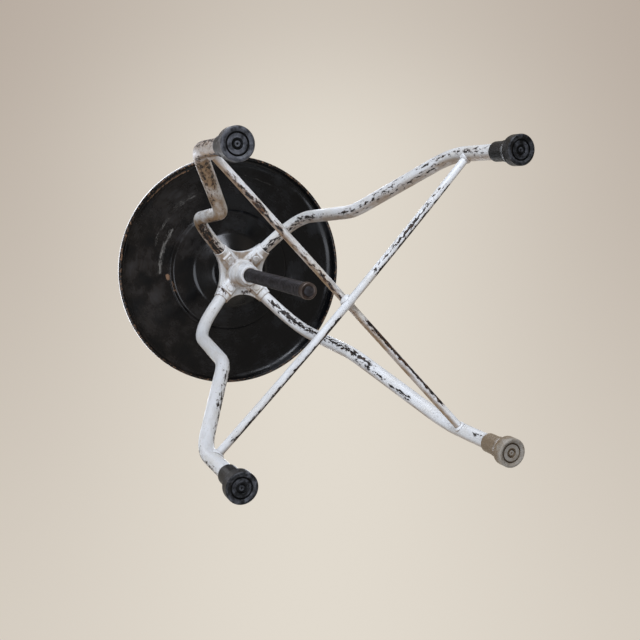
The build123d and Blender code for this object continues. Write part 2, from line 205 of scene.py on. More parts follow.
@dataclass(frozen=True)
class ChippedPaint:
    """White oil paint brushed over steel, knocked off in flakes down to dark oxide with rusty edges."""

    name: str = "brushed_white_oil_paint"
    fresh: str = "#E2E6EA"
    yellowed: str = "#CFC8BA"
    # A grimy brown; on the tubes' far sides and in corners it is also painted shade.
    shade_and_grime: str = "#856A4B"
    thin: str = "#8C8378"
    rust: str = "#6A4A31"
    oxide: str = "#1D1A19"
    # Sizes along and across a tube. They stretch along it, because knocks and rubbing run along it.
    flake: Triple = (7.5, 2.8, 2.8)
    cluster: Triple = (75.0, 22.0, 22.0)
    nick: Triple = (2.2, 1.1, 1.1)
    stain: Triple = (38.0, 15.0, 15.0)
    speck: Triple = (1.7, 1.3, 1.3)
    rub: Triple = (26.0, 8.0, 8.0)
    rust_spot: Triple = (6.0, 2.5, 2.5)
    brush_mark: Triple = (24.0, 1.6, 1.6)
    thickness: float = 0.25
    corner: float = 8.0
    # The way that the shaded, grimy side of every tube faces, away from the key lamp: its brown is painted
    # shade and soiling together.
    shaded_grimy_side: Triple = (-0.985, -0.05, -0.16)
    # Levels between which each mark sets in.
    bare_at: Span = (0.614, 0.632)
    halo_at: Span = (0.515, 0.618)
    speck_at: Span = (0.695, 0.735)
    shade_and_grime_at: Span = (0.05, 0.72)
    corner_at: Span = (0.22, 0.70)
    rub_at: Span = (0.48, 0.62)
    age_at: Span = (0.40, 0.75)
    rust_at: Span = (0.50, 0.66)
    gloss: Span = (0.34, 0.50)
    # Shares of each mark on a clean tube and on a dirty one.
    halo_share: Span = (0.10, 0.75)
    shade_and_grime_share: Span = (0.72, 1.0)
    age_share: Span = (0.25, 0.9)
    rust_share: Span = (0.2, 1.0)
    thin_share: float = 0.7

    def material(self) -> Material:
        """The paint, read from the run, wear and soil that each painted mesh carries.

        Returns:
            The material.
        """
        # Brushing leaves a soft gloss with faint ridges along the tube. The film is thick and brittle, so
        # it breaks off in flakes with a sharp raised edge, and the bare steel shows almost black.
        material, p = new_material(self.name)
        run = p.add("Attribute", attribute_name="run")["Vector"]
        wear, soil = (p.add("Attribute", attribute_name=name)["Fac"] for name in ("wear", "soil"))
        halo_share, shade_and_grime_share, age_share, rust_share = (
            p.add("MapRange", soil, 0.0, 1.0, *ends, **SOFT)[0]
            for ends in (self.halo_share, self.shade_and_grime_share, self.age_share, self.rust_share))
        stains = p.cloud(run, self.stain, 4.0, 0.6)
        clusters, nicks = p.cloud(run, self.cluster, 2.0), p.cloud(run, self.nick, 3.0)
        level = p.cloud(run, self.flake, 7.0, 0.62)
        for part, size in ((clusters, 0.35), (nicks, 0.22), (wear, 0.45)):
            level = p.add("Math", level, p.swing(part, size), **PLUS)[0]
        bare = p.add("MapRange", level, *self.bare_at, **SOFT)[0]
        specks = p.add("MapRange", p.cloud(run, self.speck, 2.0), *self.speck_at, **SOFT)[0]
        bare = p.add("Math", bare, specks, **GREATER)[0]
        halo = p.add("MapRange", level, *self.halo_at, **SOFT)[0]
        halo = p.add("Math", halo, halo_share, **TIMES)[0]
        # A grimy brown lies on the side of every tube turned from the light and in its corners, where it is
        # painted shade and soiling together, and all round the dirtiest tubes, where it is soiling.
        normal = p.add("NewGeometry")["Normal"]
        facing = p.add("VectorMath", normal, self.shaded_grimy_side, operation="DOT_PRODUCT")["Value"]
        side_shade_and_grime = p.add("MapRange", facing, *self.shade_and_grime_at, **SOFT)[0]
        for part in (p.add("MapRange", stains, 0.28, 0.58, 0.45, 1.0, **SOFT)[0], shade_and_grime_share):
            side_shade_and_grime = p.add("Math", side_shade_and_grime, part, **TIMES)[0]
        handled = p.add("MapRange", stains, 0.35, 0.65, 0.7, 1.0, **SOFT)[0]
        dirtiest = p.add("MapRange", soil, 0.75, 1.0, 0.0, 0.5, **SOFT)[0]
        handled = p.add("Math", handled, dirtiest, **TIMES)[0]
        # Corners darken by how closed in they are: painted shade, with the soiling that gathers there.
        dirt_and_shade = p.add("MapRange", p.crevice(self.corner), *self.corner_at, 0.0, 0.8, **SOFT)[0]
        for part in (side_shade_and_grime, handled):
            dirt_and_shade = p.add("Math", dirt_and_shade, part, **GREATER)[0]
        thin = p.add("MapRange", p.cloud(run, self.rub, 6.0, 0.7), *self.rub_at, **SOFT)[0]
        for part in (soil, self.thin_share):
            thin = p.add("Math", thin, part, **TIMES)[0]
        aged = p.add("MapRange", stains, *self.age_at, **SOFT)[0]
        aged = p.add("Math", aged, age_share, **TIMES)[0]
        rusty = p.add("MapRange", p.cloud(run, self.rust_spot, 4.0), *self.rust_at, **SOFT)[0]
        rusty = p.add("Math", rusty, rust_share, **TIMES)[0]
        steel = p.coats(self.oxide, (rusty, self.rust))
        colour = p.coats(self.fresh, (aged, self.yellowed), (thin, self.thin), (dirt_and_shade, self.shade_and_grime),
                         (halo, self.rust), (bare, steel))
        film = p.add("Math", 1.0, bare, **LESS)[0]
        brushed = p.add("Math", p.cloud(run, self.brush_mark, 2.0), 0.16, **TIMES)[0]
        gloss = p.add("MapRange", stains, 0.3, 0.7, *self.gloss, **SOFT)[0]
        bare_rough, bare_metal = (p.add("Math", bare, share, **TIMES)[0] for share in (0.16, 0.35))
        p.surface({
            "Base Color": colour,
            "Roughness": p.add("Math", bare_rough, gloss, **PLUS)[0],
            "Metallic": bare_metal,
        }, p.add("Math", film, brushed, **PLUS)[0], self.thickness, 0.8)
        return material


@dataclass(frozen=True)
class StoveEnamel:
    """Black enamel stoved on pressed sheet: deep and glossy, hazed by dust and rubbed in arcs by turning."""

    name: str = "black_stove_enamel"
    black: str = "#07080A"
    haze: str = "#3A3D43"
    dust: str = "#4B3D2F"
    rust: str = "#866850"
    scuff: str = "#8E8C88"
    arc: Triple = (1.8, 13.0, 13.0)
    patch: Triple = (46.0, 46.0, 46.0)
    peel: Triple = (1.6, 1.6, 1.6)
    rust_spot: Triple = (5.0, 5.0, 3.0)
    wave: Triple = (55.0, 55.0, 55.0)
    wave_depth: float = 0.7
    corner: float = 5.0
    arc_radius: float = 100.0
    # The way to the dusty side, as a share for each millimetre.
    dusty_side: Triple = (0.0, -0.0056, 0.0)
    # Levels between which each mark sets in.
    haze_at: Span = (0.46, 0.72)
    arc_at: Span = (0.30, 0.70)
    scuff_at: Span = (0.50, 0.95)
    rust_at: Span = (0.50, 0.72)
    dusty_at: Span = (-0.3, 0.9)
    dust_at: Span = (0.38, 0.66)
    corner_at: Span = (0.35, 0.9)
    gloss: Span = (0.17, 0.30)
    shine: float = 0.45
    # How much of each mark shows.
    haze_share: float = 0.38
    dust_share: float = 0.16
    scuff_share: float = 0.75
    rust_share: float = 0.85

    def polar(self, p: Pattern, place: Socket) -> Socket:
        """A place as its radius from the screw axis and its direction on a circle, in millimetres.

        Args:
            p: The material's pattern helper.
            place: The place.

        Returns:
            The radius and the two parts of the direction.
        """
        flat = p.add("VectorMath", place, (1.0, 1.0, 0.0), **TIMES)[0]
        radius = p.add("VectorMath", flat, operation="LENGTH")["Value"]
        turn = p.add("VectorMath", flat, operation="NORMALIZE")[0]
        turn = p.add("VectorMath", turn, named={"Scale": self.arc_radius}, operation="SCALE")[0]
        parts = p.add("SeparateXYZ", turn)
        return p.add("CombineXYZ", radius, parts[0], parts[1])[0]

    def material(self) -> Material:
        """The enamel, with its arcs about the screw axis.

        Returns:
            The material.
        """
        # Stoving gives a deep black gloss that mirrors the room, wavy as the pressed sheet under it. Dust
        # and turning dull it in arcs, and rust comes through where the coat is broken.
        material, p = new_material(self.name)
        place = p.place()
        wear, soil = (p.add("Attribute", attribute_name=name)["Fac"] for name in ("wear", "soil"))
        arcs = p.cloud(self.polar(p, place), self.arc, 4.0, 0.65)
        haze = p.cloud(place, self.patch, 5.0, 0.6)
        fine = p.cloud(place, self.peel, 3.0)
        spots = p.cloud(place, self.rust_spot, 5.0, 0.7)
        film = p.add("MapRange", haze, *self.haze_at, **SOFT)[0]
        film = p.add("Math", film, p.add("MapRange", arcs, *self.arc_at, **SOFT)[0], **TIMES)[0]
        scuffed = wear
        for part, size in ((arcs, 1.2), (fine, 0.6)):
            scuffed = p.add("Math", scuffed, p.swing(part, size), **PLUS)[0]
        scuffed = p.add("MapRange", scuffed, *self.scuff_at, **SOFT)[0]
        rusty = p.add("Math", soil, p.swing(spots, 1.2), **PLUS)[0]
        rusty = p.add("MapRange", rusty, *self.rust_at, **SOFT)[0]
        side = p.add("VectorMath", place, self.dusty_side, operation="DOT_PRODUCT")["Value"]
        dusty = p.add("MapRange", side, *self.dusty_at, **SOFT)[0]
        for part in (p.add("MapRange", haze, *self.dust_at, **SOFT)[0], self.dust_share):
            dusty = p.add("Math", dusty, part, **TIMES)[0]
        corner = p.add("MapRange", p.crevice(self.corner), *self.corner_at, 0.0, 0.2, **SOFT)[0]
        dusty = p.add("Math", dusty, corner, **GREATER)[0]
        marks = ((film, self.haze_share), (scuffed, self.scuff_share), (rusty, self.rust_share))
        hazed, scuffs, rust = (p.add("Math", mark, share, **TIMES)[0] for mark, share in marks)
        colour = p.coats(self.black, (hazed, self.haze), (dusty, self.dust), (scuffs, self.scuff),
                         (rust, self.rust))
        dull = film
        for part in (scuffed, rusty):
            dull = p.add("Math", dull, part, **GREATER)[0]
        dull = p.add("Math", dull, 0.26, **TIMES)[0]
        gloss = p.add("MapRange", haze, 0.3, 0.7, *self.gloss, **SOFT)[0]
        peel = p.add("Math", fine, 0.02, **TIMES)[0]
        p.surface({
            "Base Color": colour,
            "Roughness": p.add("Math", dull, gloss, **PLUS)[0],
            "Specular IOR Level": self.shine,
        }, p.add("Math", p.cloud(place, self.wave, 2.0), peel, **PLUS)[0], self.wave_depth, 0.7)
        return material


@dataclass(frozen=True)
class TurnedSteel:
    """Turned steel without paint: blackened by oil on the screw, rubbed brighter on the stop."""

    name: str
    bright: str
    dark: str
    film: str
    rough: float = 0.44
    metal: float = 0.7
    # Tool marks are drawn coarser than the real 0.2 mm, so that they show in the picture.
    tool_mark: Triple = (60.0, 60.0, 0.7)
    tool_depth: float = 0.05
    oil_run: Triple = (9.0, 9.0, 26.0)

    def material(self) -> Material:
        """The steel, with its tool marks round the axis.

        Returns:
            The material.
        """
        # Turning leaves fine rings that catch the light. Old oil fills them and runs down in dark films.
        material, p = new_material(self.name)
        place = p.place()
        wear = p.add("Attribute", attribute_name="wear")["Fac"]
        marks = p.cloud(place, self.tool_mark, 3.0)
        oil = p.cloud(place, self.oil_run, 5.0, 0.62)
        rings = p.add("MapRange", marks, 0.38, 0.62, **SOFT)[0]
        oily = p.add("MapRange", oil, 0.44, 0.66, 0.0, 0.75, **SOFT)[0]
        # The screw's wear carries how deep each point lies in the thread, so the roots darken by depth: oil,
        # and painted shade.
        valley = p.add("Math", wear, 0.7, **TIMES)[0]
        gloss = p.add("MapRange", oil, 0.3, 0.7, self.rough - 0.07, self.rough + 0.14, **SOFT)[0]
        p.surface({
            "Base Color": p.coats(self.dark, (rings, self.bright), (oily, self.film), (valley, self.dark)),
            "Roughness": gloss,
            "Metallic": self.metal,
        }, marks, self.tool_depth, 0.6)
        return material


@dataclass(frozen=True)
class MouldedRubber:
    """Moulded rubber, a little shiny on its sides, worn grey where it stands on the floor."""

    name: str
    body: str
    worn: str
    dust: str
    rough: float = 0.44
    shine: float = 0.25
    mottle: Triple = (7.0, 7.0, 7.0)
    # The skin's grain is drawn coarser than the real 0.2 mm, so that it shows in the picture.
    grain: Triple = (0.9, 0.9, 0.9)
    grain_depth: float = 0.06
    corner: float = 3.0

    def material(self) -> Material:
        """The rubber, ground by the floor where the mesh carries wear.

        Returns:
            The material.
        """
        # Moulding leaves an even, dark skin with a low sheen. Standing grinds it to a dull grey.
        material, p = new_material(self.name)
        place = p.place()
        wear = p.add("Attribute", attribute_name="wear")["Fac"]
        mottle = p.cloud(place, self.mottle, 5.0, 0.65)
        ground = p.add("Math", mottle, p.add("Math", wear, 0.45, **TIMES)[0], **PLUS)[0]
        ground = p.add("MapRange", ground, 0.54, 1.0, **SOFT)[0]
        # Corners take the dust colour by how closed in they are: on the black ferrules a paler dust, on the
        # taupe one a darker tone that is painted shade as well as dust.
        corner = p.add("MapRange", p.crevice(self.corner), 0.45, 0.95, 0.0, 0.25, **SOFT)[0]
        gloss = p.add("MapRange", mottle, 0.3, 0.7, self.rough - 0.08, self.rough + 0.12, **SOFT)[0]
        p.surface({
            "Base Color": p.coats(self.body, (ground, self.worn), (corner, self.dust)),
            "Roughness": gloss,
            "Specular IOR Level": self.shine,
        }, p.cloud(place, self.grain, 2.0), self.grain_depth, 0.5)
        return material


def apart(turn: np.ndarray, direction: float) -> np.ndarray:
    """The angle from a direction to each turn, from -180 to 180 degrees."""
    return (turn - direction + 180) % 360 - 180


class Side(Enum):
    """The sides of a tube, as angles round it from level, in degrees."""

    OUTER = 60.0
    CLOCKWISE = 200.0
    LOWER_CLOCKWISE = 235.0
    UNDER = 270.0
    LOWER_COUNTER = 305.0


@dataclass(frozen=True)
class WornStretch:
    """A knocked stretch of a tube, from one share of its length to another, on one side."""

    start: float
    end: float
    side: Side
    amount: float = 0.5
    spread: float = 32.0


@dataclass(frozen=True)
class TubeWear:
    """The wear of a tube: its level all over, its soil at both ends and its knocked stretches."""

    level: float
    soil: Span
    stretches: tuple[WornStretch, ...]
    fade: float = 0.02

    def at(self, run: np.ndarray) -> tuple[np.ndarray, np.ndarray]:
        """The wear and the soil at each point of the tube.

        Args:
            run: The way along the tube and the place across it, in millimetres.

        Returns:
            The wear and the soil, one number each for each point.
        """
        share = (run[:, 0] - run[:, 0].min()) / np.ptp(run[:, 0])
        turn = np.degrees(np.arctan2(run[:, 2], run[:, 1]))
        wear = np.full(len(run), self.level, float)
        for stretch in self.stretches:
            inside = np.clip(np.minimum(share - stretch.start, stretch.end - share) / self.fade + 1, 0, 1)
            away = apart(turn, stretch.side.value) / stretch.spread
            wear = np.maximum(wear, self.level + stretch.amount * inside * np.exp(-away ** 2))
        return wear, np.interp(share, (0.0, 1.0), self.soil)


@dataclass(frozen=True)
class WornArc:
    """A mark about the screw axis: its radius, its two directions in degrees and its width in millimetres."""

    radius: float
    start: float
    end: float
    width: float
    amount: float


def rubbed(points: np.ndarray, marks: tuple[WornArc, ...], wear: float = 0.0) -> np.ndarray:
    """The wear at each point of a piece that turns about the screw axis or carries it.

    Args:
        points: Points in millimetres.
        marks: The marks.
        wear: The wear all over.

    Returns:
        One number for each point.
    """
    radius = np.linalg.norm(points[:, :2], axis=1)
    turn = np.degrees(np.arctan2(points[:, 1], points[:, 0]))
    level = np.full(len(points), wear, float)
    for mark in marks:
        half = (mark.end - mark.start) / 2
        past = np.maximum(np.abs(apart(turn, mark.start + half)) - half, 0)
        aside = np.hypot(radius - mark.radius, np.radians(past) * radius) / mark.width
        level += mark.amount * np.exp(-aside ** 2)
    return level


def placed(name: str, data: bpy.types.ID) -> bpy.types.Object:
    """A new object, put in the scene.

    Args:
        name: The object's name.
        data: Its mesh, lamp or camera.

    Returns:
        The object.
    """
    thing = bpy.data.objects.new(name, data)
    bpy.context.scene.collection.objects.link(thing)
    return thing


def dressed(mesh: Mesh, node: str, body: Body, finish: Material) -> None:
    """Puts a mesh on the stool in the place of a plain solid.

    Args:
        mesh: The mesh, in metres.
        node: The solid that it stands for.
        body: The body that it moves with.
        finish: The material.
    """
    piece = placed(f"{node}_finished", mesh)
    mesh.materials.clear()
    mesh.materials.append(finish)
    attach(piece, body.value)
    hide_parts(node)
    LOG.info("%s: %d faces on %s", piece.name, len(mesh.polygons), body.value)


def carry(mesh: Mesh, run: np.ndarray, wear: Level, soil: Level) -> None:
    """Shades a mesh smooth and stores the run, the wear and the soil at its points.

    Args:
        mesh: The mesh.
        run: Three numbers for each point, in millimetres.
        wear: One number for each point, or one for all.
        soil: One number for each point, or one for all.
    """
    mesh.polygons.foreach_set("use_smooth", [True] * len(mesh.polygons))
    vectors = mesh.attributes.new("run", "FLOAT_VECTOR", "POINT")
    vectors.data.foreach_set("vector", run.astype(np.float32).ravel())
    for name, value in (("wear", wear), ("soil", soil)):
        value = np.ascontiguousarray(np.broadcast_to(value, len(run)), np.float32)
        mesh.attributes.new(name, "FLOAT", "POINT").data.foreach_set("value", value)


@dataclass
class Shape:
    """A mesh in the making: points, faces and the run of each point, in millimetres."""

    points: np.ndarray
    faces: list[tuple[int, ...]]
    run: np.ndarray

    def mesh(self, name: str, wear: Level = 0.0, soil: Level = 0.0) -> Mesh:
        """Makes the mesh, in metres, with its faces outward and its run, wear and soil.

        Args:
            name: The mesh's name.
            wear: The wear at each point, or all over.
            soil: The dirt at each point, or all over.

        Returns:
            The mesh.
        """
        mesh = bpy.data.meshes.new(name)
        mesh.from_pydata((self.points * MM).tolist(), [], self.faces)
        work = bmesh.new()
        work.from_mesh(mesh)
        bmesh.ops.recalc_face_normals(work, faces=work.faces)
        work.to_mesh(mesh)
        work.free()
        carry(mesh, self.run, wear, soil)
        return mesh


def heading(azimuth: float) -> tuple[np.ndarray, np.ndarray]:
    """The level directions away from the screw axis and across, at an azimuth in degrees."""
    turn = math.radians(azimuth)
    return np.array([math.cos(turn), math.sin(turn), 0.0]), np.array([-math.sin(turn), math.cos(turn), 0.0])


def lengths_along(line: np.ndarray) -> np.ndarray:
    """The way along a line to each of its points."""
    return np.concatenate([[0.0], np.cumsum(np.linalg.norm(np.diff(line, axis=0), axis=1))])


def arc_points(centre: Span, radius: float, start: float, end: float, count: int) -> list[Span]:
    """Points on an arc between two angles in degrees."""
    turns = np.radians(np.linspace(start, end, count))
    return [(centre[0] + radius * math.cos(turn), centre[1] + radius * math.sin(turn)) for turn in turns]


def rounded(corners: list[Triple], steps: int) -> np.ndarray:
    """An outline with its corners rounded, and a point close beside each round to keep the flats flat.

    Args:
        corners: Radius, height and corner radius of each corner, in millimetres.
        steps: Steps in each round.

    Returns:
        The outline's points.
    """
    most_of_side, beside, sharp = 0.46, 1.06, 1e-4
    spots = [np.array(corner[:2]) for corner in corners]
    line = [spots[0]]
    for at in range(1, len(spots) - 1):
        here = spots[at]
        back, ahead = spots[at - 1] - here, spots[at + 1] - here
        long_back, long_ahead = np.linalg.norm(back), np.linalg.norm(ahead)
        back, ahead = back / long_back, ahead / long_ahead
        half = math.acos(float(np.clip(back @ ahead, -1, 1))) / 2
        cut = min(corners[at][2] / math.tan(half), most_of_side * long_back, most_of_side * long_ahead)
        if cut < sharp:
            line.append(here)
            continue
        radius = cut * math.tan(half)
        centre = here + (back + ahead) / np.linalg.norm(back + ahead) * (radius / math.sin(half))
        start, end = here + back * cut - centre, here + ahead * cut - centre
        sweep = math.pi - 2 * half
        line.append(here + back * cut * beside)
        for share in (step / steps for step in range(steps + 1)):
            arm = start * math.sin((1 - share) * sweep) + end * math.sin(share * sweep)
            line.append(centre + arm / math.sin(sweep))
        line.append(here + ahead * cut * beside)
    line.append(spots[-1])
    return np.array(line)


def circle(radius: float, around: int) -> list[Span]:
    """Points on a circle about the origin."""
    turns = [2 * math.pi * step / around for step in range(around)]
    return [(radius * math.cos(turn), radius * math.sin(turn)) for turn in turns]


def band(low: list[int], high: list[int], step: int, around: int) -> list[int]:
    """The corners of one face between two rings, either of which may be a single point."""
    ahead = (step + 1) % around
    return [low[step % len(low)], low[ahead % len(low)], high[ahead % len(high)], high[step % len(high)]]


def skin(rings: list[list[int]], around: int, closed: bool) -> list[tuple[int, ...]]:
    """The faces over rings of points.

    Args:
        rings: The numbers of each ring's points.
        around: Points in a whole ring.
        closed: True if the last ring joins the first.

    Returns:
        The faces.
    """
    pairs = list(zip(rings, rings[1:])) + ([(rings[-1], rings[0])] if closed else [])
    faces = [tuple(dict.fromkeys(band(low, high, step, around)))
             for low, high in pairs for step in range(around)]
    return [face for face in faces if len(face) > 2]


def lathe(outline: np.ndarray, around: int, closed: bool = False) -> Shape:
    """Turns an outline of radius and height about the Z axis.

    Args:
        outline: The outline's points.
        around: Points round the axis.
        closed: True for a ring, whose outline joins up with itself.

    Returns:
        The turned shape, whose run is the way along the outline and the place across the axis.
    """
    points: list[Triple] = []
    run: list[Triple] = []
    rings: list[list[int]] = []
    for (radius, height), length in zip(outline, lengths_along(outline)):
        ring = circle(radius, around)[:1 if radius < ON_AXIS else around]
        rings.append(list(range(len(points), len(points) + len(ring))))
        points += [(x, y, height) for x, y in ring]
        run += [(length, x, y) for x, y in ring]
    return Shape(np.array(points), skin(rings, around, closed), np.array(run))


def tube_rings(count: int, around: int) -> list[list[int]]:
    """The numbers of a tube's points, ring by ring."""
    return np.arange(count * around).reshape(count, around).tolist()


@dataclass(frozen=True)
class Softening:
    """How a casting or a weld gets its soft edges: sizes in millimetres, and wear and soil all over.

    Lumps are cut inward only, and a bore is a radius about the Z axis that stays open.
    """

    voxel: float
    rounds: int
    wear: float
    soil: float
    lumps: float = 0.0
    bore: float = 0.0
    lump_size: float = 2.2
    pull: float = 0.5
    merge_distance: float = 0.001

    def grained(self, node: str) -> Mesh:
        """A copy of a solid, made again from small even faces.

        Args:
            node: The solid to copy.

        Returns:
            The mesh.
        """
        work = bmesh.new()
        work.from_mesh(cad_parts[node].data)
        bmesh.ops.remove_doubles(work, verts=work.verts, dist=self.merge_distance * MM)
        mesh = bpy.data.meshes.new(node)
        work.to_mesh(mesh)
        work.free()
        rough = placed(f"{node}_rough", mesh)
        remesh = rough.modifiers.new("grain", "REMESH")
        remesh.mode = "VOXEL"
        remesh.voxel_size = self.voxel * MM
        bpy.context.view_layer.update()
        mesh = bpy.data.meshes.new_from_object(rough.evaluated_get(bpy.context.evaluated_depsgraph_get()))
        bpy.data.objects.remove(rough)
        return mesh

    def mesh(self, node: str, marks: tuple[WornArc, ...] = ()) -> Mesh:
        """A copy of a solid with its edges softened.

        Args:
            node: The solid to copy.
            marks: The worn places.

        Returns:
            The mesh.
        """
        mesh = self.grained(node)
        points = np.zeros(len(mesh.vertices) * 3)
        mesh.vertices.foreach_get("co", points)
        points = points.reshape(-1, 3) / MM
        edges = np.zeros(len(mesh.edges) * 2, int)
        mesh.edges.foreach_get("vertices", edges)
        edges = edges.reshape(-1, 2)
        count = np.bincount(edges.ravel(), minlength=len(points))[:, None]
        for _ in range(self.rounds):
            total = np.zeros_like(points)
            np.add.at(total, edges[:, 0], points[edges[:, 1]])
            np.add.at(total, edges[:, 1], points[edges[:, 0]])
            points += self.pull * (total / count - points)
        mesh.vertices.foreach_set("co", (points * MM).ravel())
        mesh.update()
        if self.lumps > 0:
            normals = np.zeros(len(points) * 3)
            mesh.vertices.foreach_get("normal", normals)
            depth = np.array([noise.noise(Vector(point) / self.lump_size) - 1 for point in points])
            points += normals.reshape(-1, 3) * (depth * self.lumps / 2)[:, None]
        if self.bore > 0:
            radius = np.linalg.norm(points[:, :2], axis=1)
            points[:, :2] *= (np.maximum(radius, self.bore) / np.maximum(radius, ON_AXIS))[:, None]
        mesh.vertices.foreach_set("co", (points * MM).ravel())
        mesh.update()
        carry(mesh, points, rubbed(points, marks, self.wear), self.soil)
        return mesh


LEG_WEAR = {
    "front_right": TubeWear(0.30, (0.70, 1.05), (
        WornStretch(0.05, 0.45, Side.LOWER_CLOCKWISE, 0.75),
        WornStretch(0.05, 0.20, Side.UNDER),
        WornStretch(0.50, 0.75, Side.UNDER, 0.3),
        WornStretch(0.55, 0.92, Side.CLOCKWISE, 0.4),
        WornStretch(0.75, 0.92, Side.UNDER, 0.25),
        WornStretch(0.76, 0.94, Side.OUTER, 0.8, 70.0))),
    "back_right": TubeWear(0.30, (0.15, 0.35), (
        WornStretch(0.05, 0.20, Side.UNDER),
        WornStretch(0.18, 0.60, Side.LOWER_CLOCKWISE, 0.42),
        WornStretch(0.45, 0.75, Side.UNDER, 0.3),
        WornStretch(0.55, 0.92, Side.CLOCKWISE, 0.3))),
    "back_left": TubeWear(0.28, (0.18, 0.22), (
        WornStretch(0.08, 0.30, Side.UNDER, 0.65),
        WornStretch(0.34, 0.54, Side.UNDER, 0.65),
        WornStretch(0.50, 0.66, Side.LOWER_COUNTER),
        WornStretch(0.90, 0.95, Side.UNDER))),
    "front_left": TubeWear(0.22, (0.10, 0.30), (
        WornStretch(0.10, 0.20, Side.UNDER, 0.35),
        WornStretch(0.42, 0.78, Side.LOWER_CLOCKWISE),
        WornStretch(0.50, 0.65, Side.UNDER, 0.4),
        WornStretch(0.82, 0.92, Side.UNDER, 0.35),
        WornStretch(0.74, 0.92, Side.OUTER, 0.45, 50.0))),
}
ROD_WEAR = {
    "brace_upper": TubeWear(0.30, (0.8, 0.8), (
        WornStretch(0.10, 0.42, Side.LOWER_COUNTER, 0.75),
        WornStretch(0.52, 0.95, Side.LOWER_CLOCKWISE, 0.45),
        WornStretch(0.60, 0.85, Side.UNDER, 0.35))),
    "brace_lower": TubeWear(0.28, (0.25, 0.25), (
        WornStretch(0.05, 0.45, Side.LOWER_COUNTER, 0.75),
        WornStretch(0.60, 0.90, Side.LOWER_COUNTER, 0.7),
        WornStretch(0.60, 0.88, Side.LOWER_CLOCKWISE, 0.6))),
}
SOLE_WEAR = {"front_right": 0.60, "back_right": 0.30, "back_left": 0.85, "front_left": 0.30}


@dataclass
class LegTubes:
    """The four legs, each bent from round tube in its radial plane."""

    droop: float = math.radians(23.6)
    arm_start: float = 512.2
    socket_start: float = 24.0
    knee: float = 115.0
    shin: Span = (132.5, 285.5)
    foot: float = FOOT_RADIUS
    ankle: float = 144.0
    bottom: float = 11.5
    bends: Triple = (78.0, 78.0, 95.0)
    bend_steps: int = 24
    radius: float = TUBE_RADIUS
    wall: float = 1.5
    around: int = 48
    spacing: float = 2.5
    least_gap: float = 1.0
    pattern_gap: float = 700.0

    def path(self) -> np.ndarray:
        """The leg's middle line, with a point every few millimetres.

        Returns:
            Radius and height of each point.
        """
        start = self.socket_start
        line = rounded([
            (start * math.cos(self.droop), self.arm_start - start * math.sin(self.droop), 0),
            (self.knee, self.arm_start - self.knee * math.tan(self.droop), self.bends[0]),
            (*self.shin, self.bends[1]),
            (self.foot, self.ankle, self.bends[2]),
            (self.foot, self.bottom, 0),
        ], self.bend_steps)
        lengths = lengths_along(line)
        even = np.append(np.arange(0, lengths[-1] - self.least_gap, self.spacing), lengths[-1])
        return np.column_stack([np.interp(even, lengths, part) for part in line.T])

    def shape(self, azimuth: float) -> Shape:
        """One leg's tube.

        Args:
            azimuth: The leg's direction, in degrees.

        Returns:
            The tube, with its wall.
        """
        line = self.path()
        ahead = np.gradient(line, axis=0)
        ahead /= np.linalg.norm(ahead, axis=1)[:, None]
        lengths = lengths_along(line)
        outward, level = heading(azimuth)
        up = np.array([0.0, 0.0, 1.0])
        rings = [(at, self.radius) for at in range(len(line))]
        rings += [(at, self.radius - self.wall) for at in reversed(range(len(line)))]
        points, run = [], []
        for at, radius in rings:
            middle = outward * line[at, 0] + up * line[at, 1]
            across = outward * -ahead[at, 1] + up * ahead[at, 0]
            for side, rise in circle(radius, self.around):
                points.append(middle + level * side + across * rise)
                run.append((lengths[at], side, rise))
        faces = skin(tube_rings(len(rings), self.around), self.around, True)
        return Shape(np.array(points), faces, np.array(run))

    def build(self, azimuths: dict[str, float], finish: Material) -> None:
        """Makes and dresses the four legs, each with its own stretch of the paint's pattern.

        Args:
            azimuths: Each leg's direction, in degrees.
            finish: The paint.
        """
        for index, (name, azimuth) in enumerate(azimuths.items()):
            node = f"leg_{name}"
            shape = self.shape(azimuth)
            wear, soil = LEG_WEAR[name].at(shape.run)
            shape.run[:, 0] += self.pattern_gap * index
            dressed(shape.mesh(node, wear, soil), node, Body.FRAME, finish)


@dataclass
class BraceRods:
    """The two crossed rods: one straight, one bowed under it, both coped to the legs."""

    radius: float = ROD_RADIUS
    foot: float = FOOT_RADIUS
    leg: float = TUBE_RADIUS + PRESS_FIT
    height: float = 105.0
    bow: float = 2 * ROD_RADIUS + PRESS_FIT
    around: int = 32
    rings: int = 180
    pattern_start: float = 4000.0
    pattern_gap: float = 1000.0

    def shape(self, azimuth: float, bow: float) -> Shape:
        """One rod.

        Args:
            azimuth: The direction of the leg at its far end, in degrees.
            bow: How far its middle hangs, in millimetres.

        Returns:
            The rod.
        """
        outward, level = heading(azimuth)
        points, run = [], []
        for share in np.linspace(-1, 1, self.rings):
            for side, rise in circle(self.radius, self.around):
                along = share * (self.foot - math.sqrt(self.leg ** 2 - side ** 2))
                drop = bow * (1 - (along / self.foot) ** 2)
                points.append(outward * along + level * side + np.array([0, 0, self.height - drop + rise]))
                run.append((along, side, rise))
        rings = tube_rings(self.rings, self.around)
        faces = skin(rings, self.around, False) + [tuple(rings[0]), tuple(rings[-1])]
        return Shape(np.array(points), faces, np.array(run))

    def build(self, azimuths: dict[str, float], finish: Material) -> None:
        """Makes and dresses both rods, each with its own stretch of the paint's pattern.

        Args:
            azimuths: Each leg's direction, in degrees.
            finish: The paint.
        """
        rods = (("brace_upper", "front_right", 0.0), ("brace_lower", "back_right", self.bow))
        for index, (node, leg, bow) in enumerate(rods):
            shape = self.shape(azimuths[leg], bow)
            wear, soil = ROD_WEAR[node].at(shape.run)
            shape.run[:, 0] += self.pattern_start + self.pattern_gap * index
            dressed(shape.mesh(node, wear, soil), node, Body.FRAME, finish)


